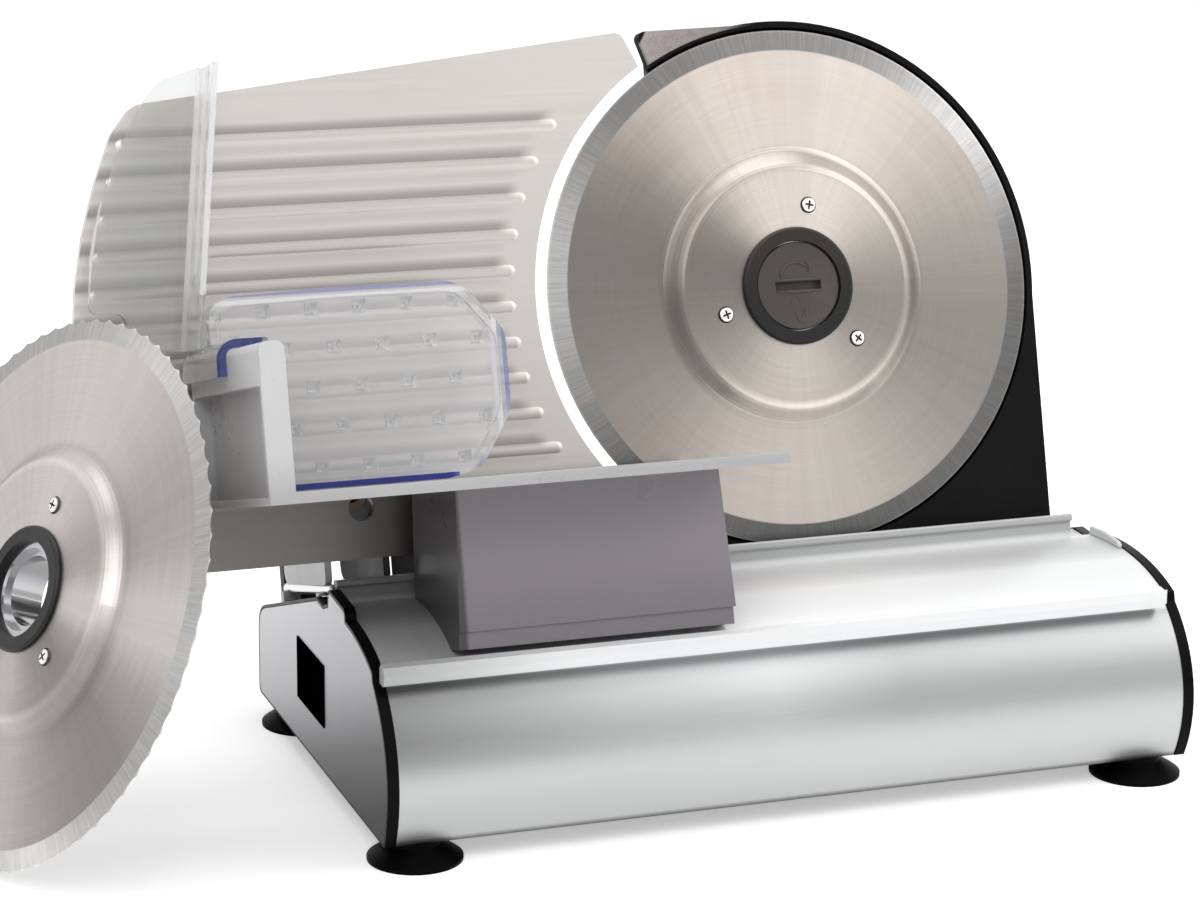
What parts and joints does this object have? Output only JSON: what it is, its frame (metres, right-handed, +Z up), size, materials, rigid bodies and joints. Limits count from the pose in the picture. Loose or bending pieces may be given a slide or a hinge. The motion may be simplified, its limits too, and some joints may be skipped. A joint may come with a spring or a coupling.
{
  "type": "food slicer",
  "caption": "Tilted round-blade food slicer with sliding tray, clear spiked food pusher, ribbed thickness gauge and a spare serrated blade standing beside it.",
  "frame": {"origin": "on the tabletop, below the middle of the bounding box of the slicer and its spare blade", "axes": "+Z up, +X to the right along the base and the carriage travel, +Y back, away from the user"},
  "size_m": [0.451, 0.2207, 0.2622],
  "materials": {
    "extrusion": "satin extruded aluminium with fine lengthwise lines",
    "plate_black": "black powder coat",
    "seal_rubber": "matte black rubber",
    "cap_silver": "silver paint, satin",
    "foot_rubber": "soft black rubber",
    "stop_grey": "light grey plastic",
    "switch_black": "black plastic",
    "housing_black": "black plastic with a fine grain",
    "screw_steel": "bright zinc plate",
    "shaft_steel": "ground steel",
    "gear_nylon": "natural nylon",
    "motor_grey": "grey lacquer",
    "bearing_brass": "machined brass",
    "blade_steel": "brushed stainless steel with a ground bevel",
    "hub_black": "black moulded plastic",
    "sleeve_steel": "turned bright steel",
    "lock_black": "black moulded plastic",
    "gauge_steel": "satin stainless steel",
    "bracket_grey": "light grey paint",
    "knob_black": "black moulded plastic",
    "block_purple": "purple-grey gloss plastic",
    "shoe_white": "white nylon",
    "tray_grey": "light grey satin plastic",
    "clear_plastic": "clear plastic with deep blue polished edges"
  },
  "bodies": {
    "base": {"base_cover": "extrusion", "bottom_plate": "plate_black", "left_end_seal": "seal_rubber", "right_end_seal": "seal_rubber", "left_end_cap": "cap_silver", "right_end_cap": "cap_silver", "foot_front_left": "foot_rubber", "foot_front_right": "foot_rubber", "foot_rear_left": "foot_rubber", "foot_rear_right": "foot_rubber", "end_stop": "stop_grey", "switch_bezel": "switch_black", "blade_housing": "housing_black", "rear_cover": "housing_black", "cover_screws": "screw_steel", "spindle": "shaft_steel", "motor": "motor_grey", "motor_bearing": "bearing_brass", "guide_rods": "shaft_steel", "rod_saddles": "bracket_grey", "knob_support": "plate_black", "spare_blade": "blade_steel", "spare_hub": "hub_black", "spare_ring": "hub_black", "spare_sleeve": "sleeve_steel", "spare_screws": "screw_steel"},
    "rocker": {"rocker_switch": "switch_black"},
    "blade_set": {"blade": "blade_steel", "blade_hub": "hub_black", "trim_ring": "hub_black", "hub_sleeve": "sleeve_steel", "blade_screws": "screw_steel", "drive_gear": "gear_nylon"},
    "lock": {"coin_lock": "lock_black"},
    "worm": {"worm_shaft": "shaft_steel"},
    "gauge": {"gauge_plate": "gauge_steel", "gauge_bracket": "bracket_grey", "gauge_nut": "bearing_brass", "gauge_screws": "screw_steel"},
    "knob": {"thickness_knob": "knob_black", "thickness_spindle": "shaft_steel"},
    "carriage": {"carriage_block": "block_purple", "slide_shoe": "shoe_white", "food_tray": "tray_grey", "tray_screws": "screw_steel"},
    "food_pusher": {"pusher": "clear_plastic"}
  },
  "joints": [
    {"name": "blade_spin", "type": "hinge", "parent": "base", "child": "blade_set", "pos_m": [0.1091, 0.0204, 0.1674], "axis": [0, -0.9622, 0.2723], "continuous": true},
    {"name": "worm_spin", "type": "hinge", "parent": "base", "child": "worm", "pos_m": [0.1091, 0.03528, 0.09512], "axis": [1, 0, 0], "continuous": true},
    {"name": "coin_lock_turn", "type": "hinge", "parent": "blade_set", "child": "lock", "pos_m": [0.1091, 0.0204, 0.1674], "axis": [0, -0.9622, 0.2723], "range_deg": [0, 90]},
    {"name": "carriage_slide", "type": "slide", "parent": "base", "child": "carriage", "axis": [1, 0, 0], "range_m": [0, 0.15]},
    {"name": "pusher_slide", "type": "slide", "parent": "carriage", "child": "food_pusher", "axis": [0, -0.9622, 0.2723], "range_m": [0, 0.045]},
    {"name": "gauge_slide", "type": "slide", "parent": "base", "child": "gauge", "axis": [0, 0.9622, -0.2723], "range_m": [0, 0.015]},
    {"name": "thickness_turn", "type": "hinge", "parent": "base", "child": "knob", "pos_m": [-0.06305, 0.00352, 0.10774], "axis": [0, -0.9622, 0.2723], "range_deg": [0, 270]},
    {"name": "rocker_tilt", "type": "hinge", "parent": "base", "child": "rocker", "pos_m": [-0.0731, 0.0092, 0.0369], "axis": [0, 0, 1], "range_deg": [-6, 6]}
  ],
  "couplings": [
    {"joint": "worm_spin", "follows": "blade_spin", "ratio": 20},
    {"joint": "thickness_turn", "follows": "gauge_slide", "rad_per_m": 314.16}
  ]
}
